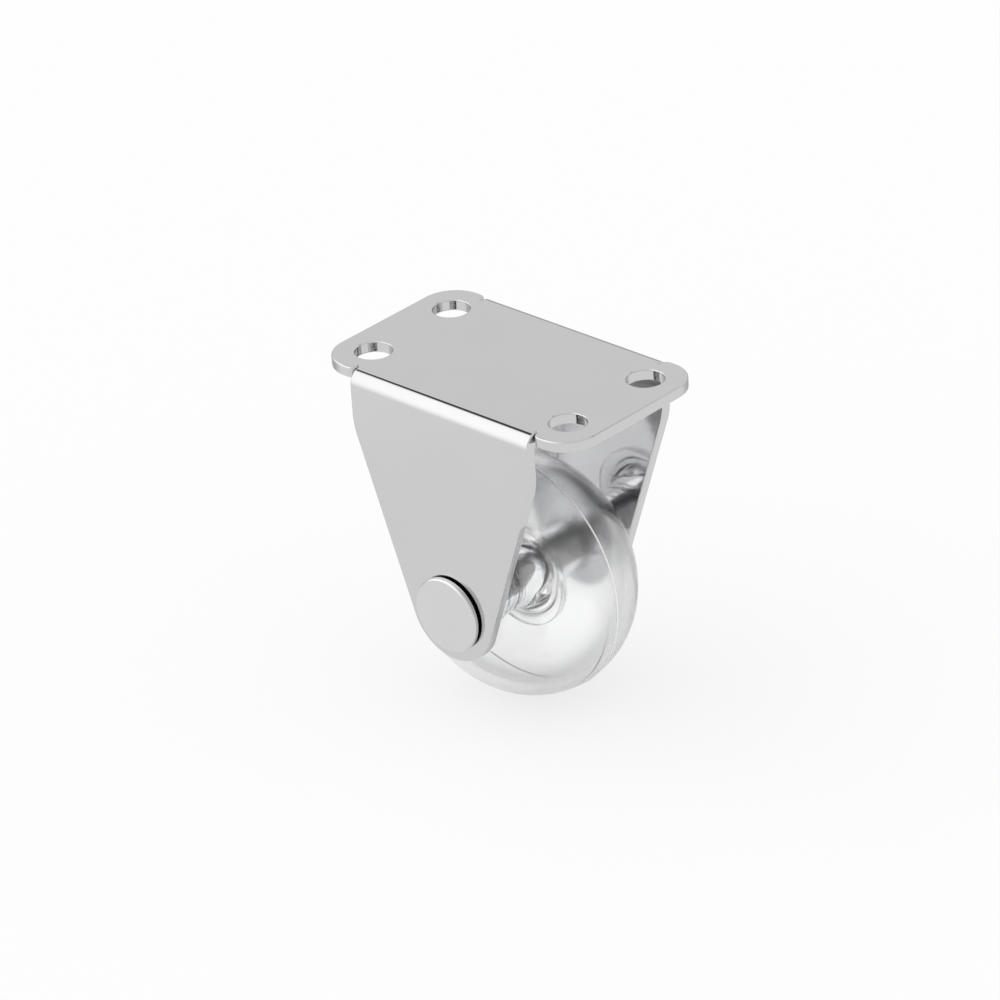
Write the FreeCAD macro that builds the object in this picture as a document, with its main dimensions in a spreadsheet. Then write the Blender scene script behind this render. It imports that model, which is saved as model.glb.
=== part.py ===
import FreeCAD, Part
import math
import os
import Sketcher

# Driving sizes in millimetres and degrees
SIZES = {
    # Bracket: one folded sheet, a plate with four screw ears and two legs
    "plate_length": 47.0,
    "plate_width": 27.4,
    "plate_corner_radius": 5.1,
    "sheet_thickness": 1.65,
    "screw_spacing_long": 36.0,
    "screw_spacing_short": 15.85,
    "screw_hole_diameter": 5.3,
    "fork_gap": 25.85,
    "bend_inner_radius": 0.5,
    "slit_width": 0.3,
    "slit_depth": 0.3,
    "slit_root_radius": 0.14,
    "slit_corner_radius": 0.9,
    "leg_width": 32.8,
    "leg_side_depth": 6.65,
    "leg_shoulder_radius": 9.0,
    "leg_foot_radius": 7.4,
    "edge_rounding": 0.3,
    # Axle: shouldered rivet, its broad head on the near leg and peened on the far one
    "axle_drop": 32.5,
    "axle_diameter": 5.0,
    "axle_hole_clearance": 0.05,
    "head_diameter": 11.1,
    "head_height": 1.15,
    "head_edge_radius": 0.35,
    "head_undercut": 0.2,
    "head_seat_diameter": 8.6,
    "spigot_diameter": 4.0,
    "peened_diameter": 7.6,
    "peened_height": 1.1,
    # Wheel: clear hollow barrel of two halves that meet at a seam, with a hub tube inside
    "wheel_diameter": 35.6,
    "wheel_crown_radius": 11.6,
    "wheel_crown_width": 14.0,
    "wheel_flank_radius": 14.7,
    "wheel_side_gap": 0.5,
    "bore_clearance": 0.05,
    "tread_wall": 1.6,
    "side_wall": 1.6,
    "hub_tube_diameter": 8.0,
    "hub_flare_radius": 3.4,
    "collar_ledge": 0.6,
    "collar_width": 1.2,
    "parting_ridge_width": 0.4,
    "parting_ridge_height": 0.1,
}

OUT_DIR = "parts"

# The sketcher's own numbers for an edge's start, end and centre, and for its two axes
START, END, CENTRE = range(1, 4)
HORIZONTAL_AXIS, VERTICAL_AXIS = range(-1, -3, -1)

doc = FreeCAD.newDocument("plate_castor")


# A length with the sheet expression behind it
class Dim:
    """A number together with the sheet expression that gives it."""

    def __init__(self, value, text):
        self.value = value
        self.text = text

    def combine(self, other, sign, value):
        """The result of one sum, as a number and as an expression."""
        right = other.text if isinstance(other, Dim) else str(other)
        return Dim(value, f"({self.text} {sign} {right})")

    def __add__(self, other):
        return self.combine(other, "+", self.value + number(other))

    def __sub__(self, other):
        return self.combine(other, "-", self.value - number(other))

    def __mul__(self, other):
        return self.combine(other, "*", self.value * number(other))

    def __truediv__(self, other):
        return self.combine(other, "/", self.value / number(other))

    def __neg__(self):
        return Dim(-self.value, f"(-1 * {self.text})")


def number(item):
    """The plain number of a Dim or of a number."""
    return item.value if isinstance(item, Dim) else item


def size(name):
    """The driving size with this name."""
    return Dim(SIZES[name], f"sizes.{name}")


def make_sheet():
    """Put every driving size in a sheet cell that carries its name."""
    sheet = doc.addObject("Spreadsheet::Sheet", "sizes")
    for row, (name, value) in enumerate(SIZES.items(), start=1):
        sheet.set(f"A{row}", name)
        sheet.set(f"B{row}", str(value))
        sheet.setAlias(f"B{row}", name)
    doc.recompute()


# Places that more than one piece shares
fork_half = size("fork_gap") / 2
leg_outer = fork_half + size("sheet_thickness")
bend_outer = size("bend_inner_radius") + size("sheet_thickness")
bend_line = leg_outer - bend_outer
leg_half = size("leg_width") / 2
axle_radius = size("axle_diameter") / 2
spigot_radius = size("spigot_diameter") / 2
wheel_radius = size("wheel_diameter") / 2
wheel_half = fork_half - size("wheel_side_gap")


# Bodies, sketches and features
def make_body(label):
    """A body of its own for one piece."""
    body = doc.addObject("PartDesign::Body", label)
    body.Label = label
    return body


def origin_feature(body, role):
    """The body's own origin plane or axis with this role."""
    for item in body.Origin.OriginFeatures:
        if item.Role == role:
            return item
    raise ValueError(f"{body.Label} has no {role}")


def make_sketch(body, name, role, offset=None):
    """A sketch on one of the body's origin planes, moved off it by a Dim."""
    sketch = body.newObject("Sketcher::SketchObject", name)
    sketch.AttachmentSupport = [(origin_feature(body, role), "")]
    sketch.MapMode = "FlatFace"
    if offset is not None:
        sketch.setExpression("AttachmentOffset.Base.z", offset.text)
    return sketch


def flat(x, y):
    """A point of a sketch, from two numbers or Dims."""
    return FreeCAD.Vector(number(x), number(y), 0)


def line(sketch, start, end):
    """Add a straight edge and return its index."""
    return sketch.addGeometry(Part.LineSegment(flat(*start), flat(*end)), False)


def circle(sketch, centre, radius):
    """Add a circle and return its index."""
    return sketch.addGeometry(Part.Circle(flat(*centre), FreeCAD.Vector(0, 0, 1), number(radius)), False)


def arc(sketch, centre, radius, start_deg, end_deg):
    """Add an arc, anticlockwise from the first angle to the second, and return its index."""
    ring = Part.Circle(flat(*centre), FreeCAD.Vector(0, 0, 1), number(radius))
    return sketch.addGeometry(Part.ArcOfCircle(ring, math.radians(start_deg), math.radians(end_deg)), False)


def fix(sketch, *constraint):
    """Add a constraint that holds at every size."""
    return sketch.addConstraint(Sketcher.Constraint(*constraint))


def bind(sketch, name, dim, kind, *where):
    """Add a named constraint whose value comes from the sheet."""
    index = fix(sketch, kind, *where, dim.value)
    sketch.renameConstraint(index, name)
    sketch.setExpression(f"Constraints.{name}", dim.text)


def place(sketch, name, edge, end, x, y):
    """Hold a point at x, y from the sketch origin, each a Dim or 0."""
    if isinstance(x, Dim):
        bind(sketch, f"{name}_x", x, "DistanceX", edge, end)
    else:
        fix(sketch, "PointOnObject", edge, end, VERTICAL_AXIS)
    if isinstance(y, Dim):
        bind(sketch, f"{name}_y", y, "DistanceY", edge, end)
    else:
        fix(sketch, "PointOnObject", edge, end, HORIZONTAL_AXIS)


def box_outline(sketch, name, low, high):
    """A closed rectangle between two corners, each an x and a y that are Dims."""
    corners = [low, (high[0], low[1]), high, (low[0], high[1])]
    edges = [line(sketch, corners[i], corners[(i + 1) % 4]) for i in range(4)]
    for i in range(4):
        fix(sketch, "Coincident", edges[i], END, edges[(i + 1) % 4], START)
        fix(sketch, "Horizontal" if i % 2 == 0 else "Vertical", edges[i])
    place(sketch, f"{name}_low", edges[0], START, *low)
    place(sketch, f"{name}_high", edges[2], START, *high)


def feature(body, kind, name, **settings):
    """A PartDesign feature with its properties set, bound to the sheet where they are Dims."""
    item = body.newObject(f"PartDesign::{kind}", name)
    for key, value in settings.items():
        if isinstance(value, Dim):
            item.setExpression(key, value.text)
        else:
            setattr(item, key, value)
    body.Tip = item
    doc.recompute()
    return item


def cut(body, kind, name, **settings):
    """A feature that takes material away, checked by the volume it leaves."""
    before = body.Shape.Volume
    item = feature(body, kind, name, **settings)
    if body.Shape.Volume > before - 1e-3:
        raise RuntimeError(f"{name} cuts nothing from {body.Label}")
    return item


def mirror(body, name, originals, role):
    """The same features on the other side of an origin plane."""
    before = body.Shape.Volume
    item = feature(body, "Mirrored", name, Originals=originals, MirrorPlane=(origin_feature(body, role), [""]))
    if abs(body.Shape.Volume - before) < 1e-3:
        raise RuntimeError(f"{name} changes nothing in {body.Label}")
    return item


def round_edges(body, name, radius, wanted):
    """Round the edges that the test picks on the body's present shape."""
    base = body.Tip
    names = [f"Edge{i}" for i, edge in enumerate(base.Shape.Edges, start=1) if wanted(edge)]
    if not names:
        raise RuntimeError(f"{name} finds no edges on {body.Label}")
    return feature(body, "Fillet", name, Base=(base, names), Radius=radius)


def near(a, b, tolerance=1e-4):
    """Whether two lengths are the same place."""
    return abs(number(a) - number(b)) < tolerance


def is_vertical_at(edge, x, y):
    """Whether an edge is a straight upright at plus or minus x and y."""
    middle = edge.CenterOfMass
    upright = near(edge.BoundBox.XLength, 0) and near(edge.BoundBox.YLength, 0)
    return upright and near(abs(middle.x), x) and near(abs(middle.y), y)


# Bracket
def add_plate(body):
    """The flat plate with its four rounded ears, down from the origin plane."""
    sketch = make_sketch(body, "plate_outline", "XY_Plane")
    half_length = size("plate_length") / 2
    half_width = size("plate_width") / 2
    box_outline(sketch, "plate", (-half_length, -half_width), (half_length, half_width))
    feature(body, "Pad", "plate", Profile=sketch, Length=size("sheet_thickness"), Reversed=True)
    round_edges(
        body,
        "ear_corners",
        size("plate_corner_radius"),
        lambda edge: is_vertical_at(edge, half_length, half_width),
    )


def add_fold_gaps(body):
    """Open both long sides between the ears, where the legs fold down, with a fine slit at each end."""
    sketch = make_sketch(body, "fold_gap_outline", "XY_Plane")
    gap_half = leg_half + size("slit_width")
    root = bend_line - size("slit_depth")
    box_outline(sketch, "gap", (-gap_half, root), (gap_half, size("plate_width")))
    gap = cut(body, "Pocket", "fold_gap", Profile=sketch, Type="ThroughAll")
    mirror(body, "fold_gap_far", [gap], "XZ_Plane")
    round_edges(
        body,
        "slit_roots",
        size("slit_root_radius"),
        lambda edge: is_vertical_at(edge, gap_half, root),
    )
    round_edges(
        body,
        "slit_corners",
        size("slit_corner_radius"),
        lambda edge: is_vertical_at(edge, gap_half, size("plate_width") / 2),
    )


def add_fold(body):
    """The bent strip: the middle of the plate and a quarter turn down each long side."""
    sketch = make_sketch(body, "fold_section", "YZ_Plane")
    inner = size("bend_inner_radius")
    top = line(sketch, (-bend_line, 0), (bend_line, 0))
    outer_far = arc(sketch, (bend_line, -bend_outer), bend_outer, 0, 90)
    end_far = line(sketch, (leg_outer, -bend_outer), (fork_half, -bend_outer))
    inner_far = arc(sketch, (bend_line, -bend_outer), inner, 0, 90)
    under = line(sketch, (bend_line, -size("sheet_thickness")), (-bend_line, -size("sheet_thickness")))
    inner_near = arc(sketch, (-bend_line, -bend_outer), inner, 90, 180)
    end_near = line(sketch, (-fork_half, -bend_outer), (-leg_outer, -bend_outer))
    outer_near = arc(sketch, (-bend_line, -bend_outer), bend_outer, 90, 180)
    fix(sketch, "Tangent", top, END, outer_far, END)
    fix(sketch, "Coincident", outer_far, START, end_far, START)
    fix(sketch, "Coincident", end_far, END, inner_far, START)
    fix(sketch, "Tangent", inner_far, END, under, START)
    fix(sketch, "Tangent", under, END, inner_near, START)
    fix(sketch, "Coincident", inner_near, END, end_near, START)
    fix(sketch, "Coincident", end_near, END, outer_near, END)
    fix(sketch, "Tangent", outer_near, START, top, START)
    for outer_arc, inner_arc, lower_end in ((outer_far, inner_far, START), (outer_near, inner_near, END)):
        fix(sketch, "Coincident", outer_arc, CENTRE, inner_arc, CENTRE)
        fix(sketch, "Horizontal", outer_arc, CENTRE, outer_arc, lower_end)
    fix(sketch, "Horizontal", end_far)
    fix(sketch, "Horizontal", end_near)
    fix(sketch, "Horizontal", top)
    fix(sketch, "PointOnObject", top, START, HORIZONTAL_AXIS)
    fix(sketch, "Equal", outer_far, outer_near)
    fix(sketch, "Equal", inner_far, inner_near)
    bind(sketch, "bend_outer_radius", bend_outer, "Radius", outer_far)
    bind(sketch, "bend_inner_radius", inner, "Radius", inner_far)
    bind(sketch, "far_face", leg_outer, "DistanceX", outer_far, START)
    bind(sketch, "near_face", -leg_outer, "DistanceX", outer_near, END)
    feature(body, "Pad", "fold", Profile=sketch, Length=size("leg_width"), SideType="Symmetric")


def leg_taper():
    """The tapers' angle from the upright, from the line that touches both shoulder and foot arcs."""
    shoulder = SIZES["leg_shoulder_radius"]
    across = leg_half.value - shoulder
    down = SIZES["axle_drop"] - SIZES["leg_side_depth"]
    apart = math.hypot(across, down)
    return math.acos((SIZES["leg_foot_radius"] - shoulder) / apart) - math.atan2(down, across)


def on_leg_arc(centre, radius, angle):
    """The point of a shoulder or foot arc where the taper touches it."""
    return (centre[0] + radius * math.cos(angle), centre[1] - radius * math.sin(angle))


def add_legs(body):
    """Both legs: straight at the fold, tapered to a round foot about the axle."""
    sketch = make_sketch(body, "leg_outline", "XZ_Plane", leg_outer)
    taper = leg_taper()
    angle = math.degrees(taper)
    shoulder = SIZES["leg_shoulder_radius"]
    half = leg_half.value
    side_end = -SIZES["leg_side_depth"]
    taper_top = on_leg_arc((half - shoulder, side_end), shoulder, taper)
    taper_foot = on_leg_arc((0, -SIZES["axle_drop"]), SIZES["leg_foot_radius"], taper)
    top = line(sketch, (-half, -bend_outer), (half, -bend_outer))
    side_r = line(sketch, (half, -bend_outer), (half, side_end))
    shoulder_r = arc(sketch, (half - shoulder, side_end), shoulder, -angle, 0)
    taper_r = line(sketch, taper_top, taper_foot)
    foot = arc(sketch, (0, -size("axle_drop")), size("leg_foot_radius"), 180 + angle, 360 - angle)
    taper_l = line(sketch, (-taper_foot[0], taper_foot[1]), (-taper_top[0], taper_top[1]))
    shoulder_l = arc(sketch, (shoulder - half, side_end), shoulder, 180, 180 + angle)
    side_l = line(sketch, (-half, side_end), (-half, -bend_outer))
    fix(sketch, "Coincident", top, END, side_r, START)
    fix(sketch, "Tangent", side_r, END, shoulder_r, END)
    fix(sketch, "Tangent", shoulder_r, START, taper_r, START)
    fix(sketch, "Tangent", taper_r, END, foot, END)
    fix(sketch, "Tangent", foot, START, taper_l, START)
    fix(sketch, "Tangent", taper_l, END, shoulder_l, END)
    fix(sketch, "Tangent", shoulder_l, START, side_l, START)
    fix(sketch, "Coincident", side_l, END, top, START)
    fix(sketch, "Vertical", side_r)
    fix(sketch, "Vertical", side_l)
    fix(sketch, "Symmetric", top, START, top, END, VERTICAL_AXIS)
    fix(sketch, "Equal", shoulder_r, shoulder_l)
    fix(sketch, "Equal", taper_r, taper_l)
    place(sketch, "foot", foot, CENTRE, 0, -size("axle_drop"))
    bind(sketch, "fold_end", -bend_outer, "DistanceY", top, START)
    bind(sketch, "leg_width", size("leg_width"), "DistanceX", top, START, top, END)
    bind(sketch, "foot_radius", size("leg_foot_radius"), "Radius", foot)
    bind(sketch, "shoulder_radius", size("leg_shoulder_radius"), "Radius", shoulder_r)
    bind(sketch, "side_end", -size("leg_side_depth"), "DistanceY", side_r, END)
    leg = feature(body, "Pad", "leg", Profile=sketch, Length=size("sheet_thickness"), Reversed=True)
    mirror(body, "leg_far", [leg], "XZ_Plane")


def add_axle_holes(body):
    """A hole for the shank in the near leg and a smaller one for the spigot in the far leg."""
    for name, radius, backwards in (("shank_hole", axle_radius, True), ("spigot_hole", spigot_radius, False)):
        sketch = make_sketch(body, f"{name}_outline", "XZ_Plane")
        ring = circle(sketch, (0, -size("axle_drop")), radius)
        place(sketch, "axle", ring, CENTRE, 0, -size("axle_drop"))
        bind(sketch, "radius", radius + size("axle_hole_clearance"), "Radius", ring)
        cut(body, "Pocket", name, Profile=sketch, Type="ThroughAll", Reversed=backwards)


def add_screw_holes(body):
    """Four screw holes on a rectangle, one in each ear."""
    sketch = make_sketch(body, "screw_hole_outline", "XY_Plane")
    centre = (size("screw_spacing_long") / 2, size("screw_spacing_short") / 2)
    ring = circle(sketch, centre, size("screw_hole_diameter") / 2)
    place(sketch, "screw", ring, CENTRE, *centre)
    bind(sketch, "radius", size("screw_hole_diameter") / 2, "Radius", ring)
    hole = cut(body, "Pocket", "screw_hole", Profile=sketch, Type="ThroughAll")
    cut(
        body,
        "LinearPattern",
        "screw_holes",
        Originals=[hole],
        Direction=(origin_feature(body, "X_Axis"), [""]),
        Reversed=True,
        Length=size("screw_spacing_long"),
        Occurrences=2,
        Direction2=(origin_feature(body, "Y_Axis"), [""]),
        Reversed2=True,
        Length2=size("screw_spacing_short"),
        Occurrences2=2,
    )


def is_outer_leg_edge(edge):
    """Whether an edge lies on a leg's outer face, axle holes and fold ends apart."""
    box = edge.BoundBox
    on_face = near(box.YLength, 0) and near(abs(box.Center.y), leg_outer)
    across = near(box.ZLength, 0) and box.XLength > leg_half.value
    return on_face and not across and not is_ring(edge)


def is_ring(edge):
    """Whether an edge is a whole circle."""
    return len(edge.Vertexes) == 1


def is_fold_end(edge):
    """Whether an edge is the outer arc at an end of a fold."""
    box = edge.BoundBox
    return near(box.XLength, 0) and near(box.YLength, bend_outer) and near(box.ZLength, bend_outer)


def is_ear_rim(edge):
    """Whether an edge is on the plate's top face and outside the folds."""
    box = edge.BoundBox
    on_top = near(box.ZMax, 0) and near(box.ZMin, 0)
    along_fold = near(abs(box.Center.y), bend_line) and near(box.YLength, 0)
    return on_top and not along_fold and not is_ring(edge)


def make_bracket():
    """The folded sheet that screws to the furniture and carries the axle."""
    body = make_body("bracket")
    add_plate(body)
    add_fold_gaps(body)
    add_fold(body)
    add_legs(body)
    add_axle_holes(body)
    add_screw_holes(body)
    round_edges(
        body,
        "burnished_edges",
        size("edge_rounding"),
        lambda edge: is_outer_leg_edge(edge) or is_fold_end(edge) or is_ear_rim(edge),
    )
    return body


# Axle
def on_axle(label):
    """A body whose own Y axis is the axle's."""
    body = make_body(label)
    body.setExpression("Placement.Base.z", (-size("axle_drop")).text)
    return body


def turn(body, kind, name, sketch):
    """A full turn of a section about the axle's line."""
    make = cut if kind == "Groove" else feature
    return make(body, kind, name, Profile=sketch, ReferenceAxis=(sketch, ["H_Axis"]), Angle=360)


def stepped_edges(sketch, name, corners):
    """Edges along and across the axle in turn, each held where it ends."""
    edges = []
    for i in range(len(corners) - 1):
        along = i % 2 == 0
        edge = line(sketch, corners[i], corners[i + 1])
        fix(sketch, "Horizontal" if along else "Vertical", edge)
        place_of_end = corners[i + 1][0 if along else 1]
        bind(sketch, f"{name}_{i + 1}", place_of_end, "DistanceX" if along else "DistanceY", edge, END)
        if edges:
            fix(sketch, "Coincident", edges[-1], END, edge, START)
        edges.append(edge)
    return edges


def rivet_corners(rim):
    """The rivet's corners from the head's rim to the peened end's."""
    head_back = -(leg_outer + size("head_undercut"))
    head_radius = size("head_diameter") / 2
    seat_radius = size("head_seat_diameter") / 2
    return [
        (rim, head_radius),
        (head_back, head_radius),
        (head_back, seat_radius),
        (-leg_outer, seat_radius),
        (-leg_outer, axle_radius),
        (fork_half, axle_radius),
        (fork_half, spigot_radius),
        (leg_outer, spigot_radius),
        (leg_outer, size("peened_diameter") / 2),
    ]


def add_dome(sketch, tip):
    """The peened end's shallow dome, from its tip on the axis to its rim."""
    height = size("peened_height")
    rim = size("peened_diameter") / 2
    radius = (rim * rim / height + height) / 2
    dome = arc(sketch, (tip - radius, 0), radius, 0, math.degrees(math.asin(rim.value / radius.value)))
    fix(sketch, "PointOnObject", dome, CENTRE, HORIZONTAL_AXIS)
    return dome


def make_axle():
    """The rivet: head, shank, shoulder, spigot and peened end, turned about Y."""
    body = on_axle("axle")
    sketch = make_sketch(body, "axle_section", "YZ_Plane")
    head_face = -(leg_outer + size("head_height"))
    head_radius = size("head_diameter") / 2
    edge_radius = size("head_edge_radius")
    rim = head_face + edge_radius
    tip = leg_outer + size("peened_height")
    steps = stepped_edges(sketch, "step", rivet_corners(rim))
    dome = add_dome(sketch, tip)
    core = line(sketch, (tip, 0), (head_face, 0))
    face = line(sketch, (head_face, 0), (head_face, head_radius - edge_radius))
    edge_arc = arc(sketch, (rim, head_radius - edge_radius), edge_radius, 90, 180)
    fix(sketch, "Coincident", steps[-1], END, dome, END)
    fix(sketch, "Coincident", dome, START, core, START)
    fix(sketch, "Coincident", core, END, face, START)
    fix(sketch, "Vertical", face)
    fix(sketch, "Tangent", face, END, edge_arc, END)
    fix(sketch, "Tangent", edge_arc, START, steps[0], START)
    place(sketch, "tip", core, START, tip, 0)
    place(sketch, "head_face", core, END, head_face, 0)
    bind(sketch, "edge_radius", edge_radius, "Radius", edge_arc)
    bind(sketch, "head_radius", head_radius, "DistanceY", steps[0], END)
    turn(body, "Revolution", "turned_axle", sketch)
    return body


# Wheel
def barrel_arcs(sketch, depth, side):
    """Flank, crown and flank at a depth under the wheel's outside, ending at its two sides.

    Returns the three arcs, from the far side to the near one, and the radius where they end.
    """
    outer_crown = size("wheel_crown_radius")
    outer_join = size("wheel_crown_width") / 2
    crown = outer_crown - depth
    flank = size("wheel_flank_radius") - depth
    join = outer_join * crown / outer_crown
    lean = math.asin(outer_join.value / outer_crown.value)
    flank_y = (crown.value - flank.value) * math.sin(lean)
    flank_r = wheel_radius.value - outer_crown.value + (crown.value - flank.value) * math.cos(lean)
    end_angle = math.acos((side.value - flank_y) / flank.value)
    join_deg = 90 - math.degrees(lean)
    end_deg = math.degrees(end_angle)
    flank_far = arc(sketch, (flank_y, flank_r), flank, end_deg, join_deg)
    tread = arc(sketch, (0, wheel_radius - outer_crown), crown, join_deg, 180 - join_deg)
    flank_near = arc(sketch, (-flank_y, flank_r), flank, 180 - join_deg, 180 - end_deg)
    fix(sketch, "Tangent", flank_far, END, tread, START)
    fix(sketch, "Tangent", tread, END, flank_near, START)
    fix(sketch, "Equal", flank_far, flank_near)
    fix(sketch, "PointOnObject", tread, CENTRE, VERTICAL_AXIS)
    bind(sketch, "crown_radius", crown, "Radius", tread)
    bind(sketch, "flank_radius", flank, "Radius", flank_far)
    bind(sketch, "crown_centre", wheel_radius - outer_crown, "DistanceY", tread, CENTRE)
    bind(sketch, "crown_far", join, "DistanceX", tread, START)
    bind(sketch, "crown_near", -join, "DistanceX", tread, END)
    return flank_far, flank_near, flank_r + flank.value * math.sin(end_angle)


def add_barrel(body):
    """The barrel's outside and its bore."""
    sketch = make_sketch(body, "barrel_section", "YZ_Plane")
    bore = axle_radius + size("bore_clearance")
    flank_far, flank_near, side_r = barrel_arcs(sketch, 0, wheel_half)
    bore_line = line(sketch, (-wheel_half, bore), (wheel_half, bore))
    face_far = line(sketch, (wheel_half, bore), (wheel_half, side_r))
    face_near = line(sketch, (-wheel_half, side_r), (-wheel_half, bore))
    fix(sketch, "Coincident", bore_line, END, face_far, START)
    fix(sketch, "Coincident", face_far, END, flank_far, START)
    fix(sketch, "Coincident", flank_near, END, face_near, START)
    fix(sketch, "Coincident", face_near, END, bore_line, START)
    fix(sketch, "Vertical", face_far)
    fix(sketch, "Vertical", face_near)
    place(sketch, "bore_far", bore_line, END, wheel_half, bore)
    place(sketch, "bore_near", bore_line, START, -wheel_half, bore)
    turn(body, "Revolution", "barrel", sketch)


def hub_outline(sketch, side):
    """The hub tube, flared on to a thin collar at the seam, between the hollow's two sides."""
    tube = size("hub_tube_diameter") / 2
    flare = size("hub_flare_radius")
    collar_half = size("collar_width") / 2
    flare_end = collar_half + flare
    root = tube + flare
    rim = root + size("collar_ledge")
    tube_near = line(sketch, (-side, tube), (-flare_end, tube))
    flare_near = arc(sketch, (-flare_end, root), flare, 270, 360)
    ledge_near = line(sketch, (-collar_half, root), (-collar_half, rim))
    collar_rim = line(sketch, (-collar_half, rim), (collar_half, rim))
    ledge_far = line(sketch, (collar_half, rim), (collar_half, root))
    flare_far = arc(sketch, (flare_end, root), flare, 180, 270)
    tube_far = line(sketch, (flare_end, tube), (side, tube))
    fix(sketch, "Tangent", tube_near, END, flare_near, START)
    fix(sketch, "Tangent", flare_near, END, ledge_near, START)
    fix(sketch, "Coincident", ledge_near, END, collar_rim, START)
    fix(sketch, "Coincident", collar_rim, END, ledge_far, START)
    fix(sketch, "Tangent", ledge_far, END, flare_far, START)
    fix(sketch, "Tangent", flare_far, END, tube_far, START)
    fix(sketch, "Vertical", ledge_near)
    fix(sketch, "Vertical", ledge_far)
    fix(sketch, "Horizontal", tube_near)
    fix(sketch, "Horizontal", tube_far)
    fix(sketch, "Equal", flare_near, flare_far)
    bind(sketch, "flare_radius", flare, "Radius", flare_near)
    place(sketch, "tube_near", tube_near, START, -side, tube)
    place(sketch, "tube_far", tube_far, END, side, tube)
    place(sketch, "collar_near", collar_rim, START, -collar_half, rim)
    place(sketch, "collar_far", collar_rim, END, collar_half, rim)
    return tube_near, tube_far


def add_hollow(body):
    """The sealed hollow that both halves enclose, round the hub tube."""
    sketch = make_sketch(body, "hollow_section", "YZ_Plane")
    side = wheel_half - size("side_wall")
    flank_far, flank_near, side_r = barrel_arcs(sketch, size("tread_wall"), side)
    tube_near, tube_far = hub_outline(sketch, side)
    tube = size("hub_tube_diameter") / 2
    side_far = line(sketch, (side, tube), (side, side_r))
    side_near = line(sketch, (-side, side_r), (-side, tube))
    fix(sketch, "Coincident", tube_far, END, side_far, START)
    fix(sketch, "Coincident", side_far, END, flank_far, START)
    fix(sketch, "Coincident", flank_near, END, side_near, START)
    fix(sketch, "Coincident", side_near, END, tube_near, START)
    fix(sketch, "Vertical", side_far)
    fix(sketch, "Vertical", side_near)
    turn(body, "Groove", "hollow", sketch)


def add_parting_ridge(body):
    """The fine ridge at the seam, round the middle of the tread."""
    sketch = make_sketch(body, "parting_ridge_section", "YZ_Plane")
    half = size("parting_ridge_width") / 2
    top = wheel_radius + size("parting_ridge_height")
    box_outline(sketch, "ridge", (-half, wheel_radius - size("parting_ridge_width")), (half, top))
    turn(body, "Revolution", "parting_ridge", sketch)


def make_wheel():
    """The clear wheel, as its two halves joined."""
    body = on_axle("wheel")
    add_barrel(body)
    add_hollow(body)
    add_parting_ridge(body)
    return body


# Checks and files
def check_document():
    """Stop if any object of the document failed."""
    for item in doc.Objects:
        if "Invalid" in item.State or "Error" in item.State:
            raise RuntimeError(f"{item.Label} is {item.State}")


def write_parts(bodies):
    """Write each piece's solid to a file that carries its name."""
    os.makedirs(OUT_DIR, exist_ok=True)
    for body in bodies:
        shape = body.Shape
        if shape.isNull() or not shape.isValid() or len(shape.Solids) != 1:
            raise RuntimeError(f"{body.Label} is not one valid solid")
    for body in bodies:
        body.Shape.exportStep(os.path.join(OUT_DIR, f"{body.Label}.step"))
        print(f"{body.Label}: {body.Shape.Volume:.1f} mm3, {body.Shape.BoundBox}")


make_sheet()
pieces = [make_bracket(), make_axle(), make_wheel()]
doc.recompute()
check_document()
write_parts(pieces)
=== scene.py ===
"""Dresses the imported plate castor: folded chrome bracket, riveted axle and clear barrel wheel."""

import logging
import math
from dataclasses import dataclass
from enum import Enum
from typing import Callable

import bpy
from mathutils import Matrix, Vector


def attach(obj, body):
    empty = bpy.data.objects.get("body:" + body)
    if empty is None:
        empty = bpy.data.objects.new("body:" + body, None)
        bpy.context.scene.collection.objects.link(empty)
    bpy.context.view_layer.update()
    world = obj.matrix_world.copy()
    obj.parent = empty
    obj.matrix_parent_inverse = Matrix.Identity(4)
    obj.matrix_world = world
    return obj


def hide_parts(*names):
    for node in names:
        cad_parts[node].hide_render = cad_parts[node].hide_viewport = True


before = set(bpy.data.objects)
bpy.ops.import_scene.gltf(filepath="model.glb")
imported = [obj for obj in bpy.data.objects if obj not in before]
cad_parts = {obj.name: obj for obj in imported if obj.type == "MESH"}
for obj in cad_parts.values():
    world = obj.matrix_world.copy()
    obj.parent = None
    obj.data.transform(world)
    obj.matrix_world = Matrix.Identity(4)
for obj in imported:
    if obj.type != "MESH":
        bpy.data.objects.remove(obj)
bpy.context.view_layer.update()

LOG = logging.getLogger("plate_castor")
MM = 0.001
CLOSE = 0.001  # millimetres within which two places are the same
MERGE = 0.002  # millimetres within which vertices are merged

Point = tuple[float, float]
Color = tuple[float, float, float]
Socket = bpy.types.NodeSocket


class Side(Enum):
    """The two legs, by the sign of their Y."""

    NEAR = -1
    FAR = 1


# Hand tools


def leave_edit_mode() -> None:
    """Goes back to object mode."""
    if bpy.context.mode != "OBJECT":
        bpy.ops.object.mode_set(mode="OBJECT")


def deselect_everything() -> None:
    """Leaves no object selected and none being edited."""
    leave_edit_mode()
    bpy.ops.object.select_all(action="DESELECT")


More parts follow.
